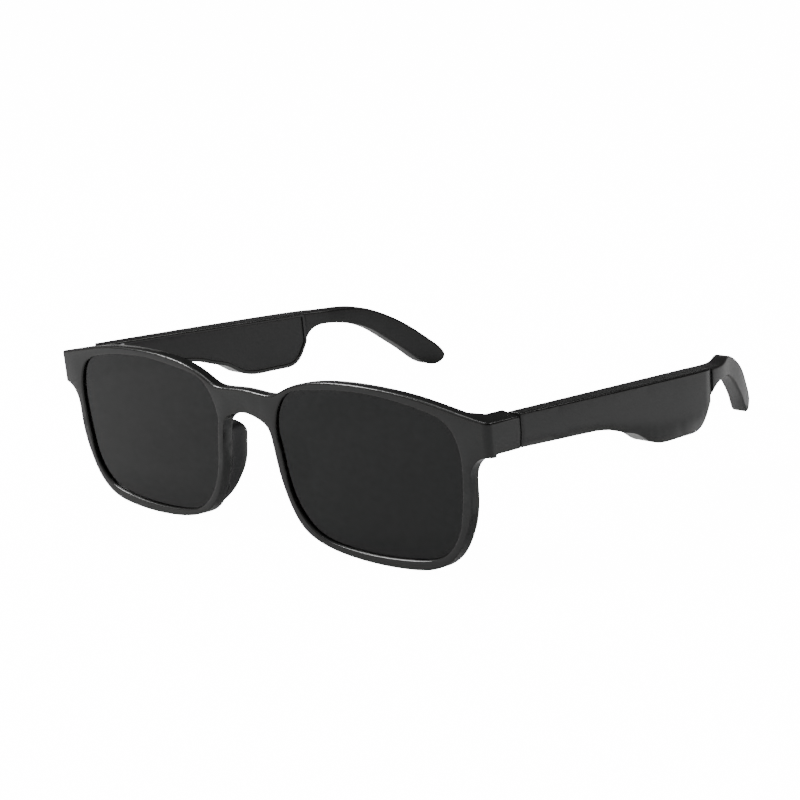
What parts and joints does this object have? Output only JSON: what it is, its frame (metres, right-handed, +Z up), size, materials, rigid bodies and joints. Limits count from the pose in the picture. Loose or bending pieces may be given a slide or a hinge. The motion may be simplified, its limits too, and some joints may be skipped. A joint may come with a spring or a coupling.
{
  "type": "audio sunglasses",
  "caption": "Black rectangular smart sunglasses with folding temples that carry speakers, batteries and buttons in pods above the ears.",
  "frame": {"origin": "on the table under the middle of the box around the open glasses, which stand on the bottom of the rims and the ends of the ear tips", "axes": "+X to the wearer's left, +Y back along the temples, +Z up; the front faces -Y"},
  "size_m": [0.153, 0.1518, 0.047],
  "materials": {
    "frame_plastic": "satin black moulded plastic",
    "tinted_lens": "dark grey tint, polished",
    "hinge_steel": "satin",
    "screw_steel": "turned",
    "cover_plastic": "fine matte",
    "tip_plastic": "satin",
    "core_steel": "satin",
    "board": "solder mask",
    "battery_wrap": "foil pouch",
    "speaker_black": "moulded",
    "grille_mesh": "black coated",
    "switch_metal": "stamped",
    "gold_contact": "plated",
    "magnet": "nickel plated",
    "light_pipe": "clear",
    "button_plastic": "satin"
  },
  "bodies": {
    "front": {"front_frame": "frame_plastic", "lens_left": "tinted_lens", "lens_right": "tinted_lens", "nose_pad_left": "frame_plastic", "nose_pad_right": "frame_plastic", "hinge_front_leaf_left": "hinge_steel", "hinge_front_leaf_right": "hinge_steel", "hinge_screw_left": "screw_steel", "hinge_screw_right": "screw_steel"},
    "temple_left": {"hinge_temple_leaf_left": "hinge_steel", "temple_shell_left": "frame_plastic", "temple_cover_left": "cover_plastic", "ear_tip_left": "tip_plastic", "tip_core_left": "core_steel", "circuit_board_left": "board", "battery_left": "battery_wrap", "speaker_left": "speaker_black", "speaker_grille_left": "grille_mesh", "button_switch_left": "switch_metal", "charging_contact_front_left": "gold_contact", "charging_contact_rear_left": "gold_contact", "charging_magnet_left": "magnet", "status_light_left": "light_pipe", "microphone_left": "switch_metal"},
    "button_left": {"control_button_left": "button_plastic"},
    "temple_right": {"hinge_temple_leaf_right": "hinge_steel", "temple_shell_right": "frame_plastic", "temple_cover_right": "cover_plastic", "ear_tip_right": "tip_plastic", "tip_core_right": "core_steel", "circuit_board_right": "board", "battery_right": "battery_wrap", "speaker_right": "speaker_black", "speaker_grille_right": "grille_mesh", "button_switch_right": "switch_metal", "charging_contact_front_right": "gold_contact", "charging_contact_rear_right": "gold_contact", "charging_magnet_right": "magnet", "status_light_right": "light_pipe", "microphone_right": "switch_metal"},
    "button_right": {"control_button_right": "button_plastic"}
  },
  "joints": [
    {"name": "temple_left_fold", "type": "hinge", "parent": "front", "child": "temple_left", "pos_m": [0.0677, -0.05743, 0.03607], "axis": [0, -0.0213, 0.9998], "range_deg": [0, 87]},
    {"name": "temple_right_fold", "type": "hinge", "parent": "front", "child": "temple_right", "pos_m": [-0.0677, -0.05743, 0.03607], "axis": [0, 0.0213, -0.9998], "range_deg": [0, 76]},
    {"name": "button_left_press", "type": "slide", "parent": "temple_left", "child": "button_left", "axis": [0, 0.1578, 0.9875], "range_m": [0, 0.0003], "stiffness_N_per_m": 800, "springref_m": -0.0003},
    {"name": "button_right_press", "type": "slide", "parent": "temple_right", "child": "button_right", "axis": [0, 0.1578, 0.9875], "range_m": [0, 0.0003], "stiffness_N_per_m": 800, "springref_m": -0.0003}
  ]
}
